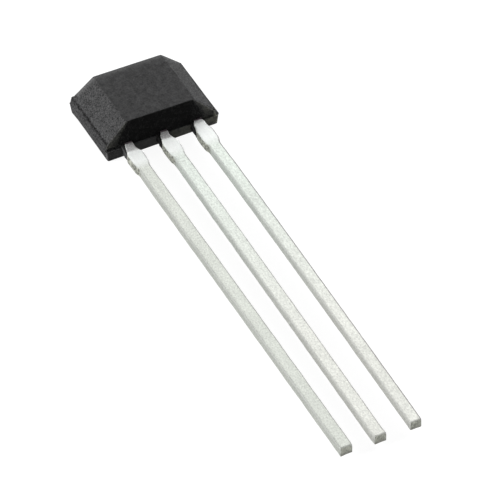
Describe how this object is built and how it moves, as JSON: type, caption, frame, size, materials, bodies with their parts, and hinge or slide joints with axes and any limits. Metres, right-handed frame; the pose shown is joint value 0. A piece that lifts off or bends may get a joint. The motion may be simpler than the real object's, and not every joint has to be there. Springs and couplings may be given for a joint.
{
  "type": "hall effect sensor",
  "caption": "Flat through-hole Hall effect sensor: a small black moulded body with a chamfered sensing face and a row of long straight tinned leads.",
  "frame": {"origin": "centre of the flat rear face of the moulded body", "axes": "+X across the row of leads from lead 1 to lead 3, the leads point along -Y, +Z out of the front sensing face"},
  "size_m": [0.0042, 0.0184, 0.0013],
  "materials": {
    "molding_compound": "matt black epoxy moulding compound with a fine grain",
    "tinned_lead": "matt tin plating on copper alloy",
    "die_glue": "silver-filled epoxy",
    "silicon": "polished silicon with a passivated top",
    "gold_wire": "bright gold"
  },
  "bodies": {
    "root": {"molded_body": "molding_compound", "lead_1_supply": "tinned_lead", "lead_2_ground": "tinned_lead", "lead_3_output": "tinned_lead", "die_attach": "die_glue", "hall_die": "silicon", "bond_wire_supply": "gold_wire", "bond_wire_ground": "gold_wire", "bond_wire_output": "gold_wire"}
  },
  "joints": []
}
